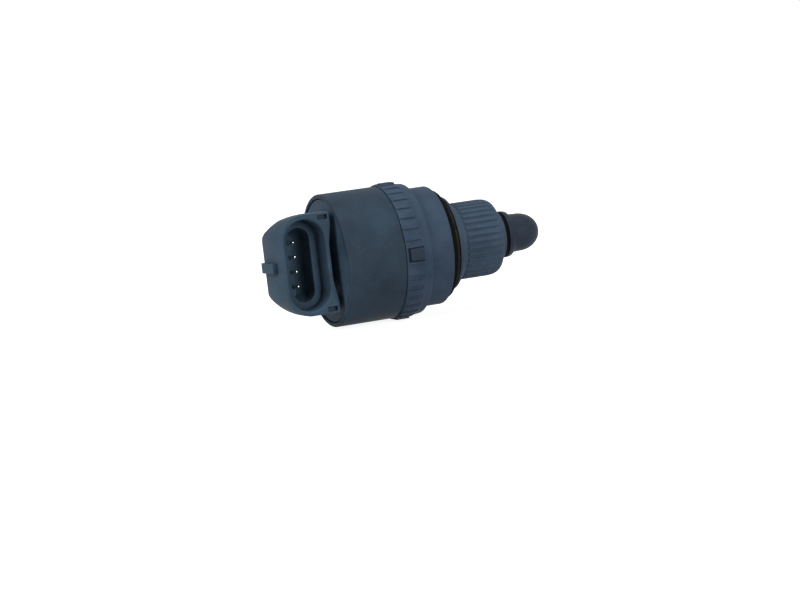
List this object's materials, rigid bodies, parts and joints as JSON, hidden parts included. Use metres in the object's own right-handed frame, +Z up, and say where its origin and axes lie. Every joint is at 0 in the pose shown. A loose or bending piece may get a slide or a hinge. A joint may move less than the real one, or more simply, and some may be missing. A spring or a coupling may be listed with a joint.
{
  "type": "idle air control valve",
  "caption": "Stepper-driven idle air control valve: dark moulded casing with a right-angle socket, slotted band, shoulder, ribbed neck and a sliding blunt pintle.",
  "frame": {"origin": "point on the valve's axis in the plane of the seat face, where the shoulder begins", "axes": "+X along the valve's axis towards the pintle's tip, the socket opens towards -Y, +Z up along the row of terminals"},
  "size_m": [0.0807, 0.0378, 0.0378],
  "materials": {
    "casing_plastic": "dark blue-grey glass-filled moulded plastic, fine matt grain",
    "front_plastic": "dark blue-grey glass-filled moulded plastic, matt, slightly rubbed edges",
    "cover_plastic": "dark blue-grey moulded plastic, matt, softly rounded socket rim",
    "sleeve_plastic": "dark moulded plastic with a faint sheen on the ribs",
    "pintle_plastic": "dark moulded plastic, smooth, faint turning ring at the nose",
    "black_rubber": "black moulded rubber, dull",
    "dull_brass": "olive-dull brass washer with a bright bevelled edge",
    "tinned_terminal": "tin-plated terminal, bright",
    "enamelled_copper": "enamelled copper wire",
    "pole_steel": "zinc-plated pressed steel",
    "bobbin_plastic": "natural moulded plastic",
    "sintered_bronze": "oil-filled sintered bronze",
    "bearing_steel": "ground steel",
    "hub_plastic": "natural moulded plastic",
    "ferrite": "ground ferrite magnet"
  },
  "bodies": {
    "stator": {"casing": "casing_plastic", "front_body": "front_plastic", "socket_cover": "cover_plastic", "terminal_1": "tinned_terminal", "terminal_2": "tinned_terminal", "terminal_3": "tinned_terminal", "terminal_4": "tinned_terminal", "lead_1": "enamelled_copper", "lead_2": "enamelled_copper", "lead_3": "enamelled_copper", "lead_4": "enamelled_copper", "guide_sleeve": "sleeve_plastic", "gasket": "black_rubber", "washer": "dull_brass", "stem_seal": "black_rubber", "can_rear": "pole_steel", "pole_plate_rear": "pole_steel", "bobbin_rear": "bobbin_plastic", "coil_rear": "enamelled_copper", "can_front": "pole_steel", "pole_plate_front": "pole_steel", "bobbin_front": "bobbin_plastic", "coil_front": "enamelled_copper", "rear_bush": "sintered_bronze", "wave_washer": "bearing_steel", "bearing_outer": "bearing_steel"},
    "rotor": {"rotor_hub": "hub_plastic", "rotor_magnet": "ferrite", "rotor_pin": "bearing_steel", "bearing_inner": "bearing_steel", "bearing_balls": "bearing_steel", "bearing_clip": "bearing_steel"},
    "plunger": {"pintle": "pintle_plastic", "lead_screw": "bearing_steel"}
  },
  "joints": [
    {"name": "rotor_spin", "type": "hinge", "parent": "stator", "child": "rotor", "pos_m": [0, 0, 0], "axis": [1, 0, 0], "range_deg": [0, 2880]},
    {"name": "pintle_slide", "type": "slide", "parent": "stator", "child": "plunger", "axis": [1, 0, 0], "range_m": [0, 0.008]}
  ],
  "couplings": [
    {"joint": "pintle_slide", "follows": "rotor_spin", "m_per_rad": 0.00015915}
  ]
}
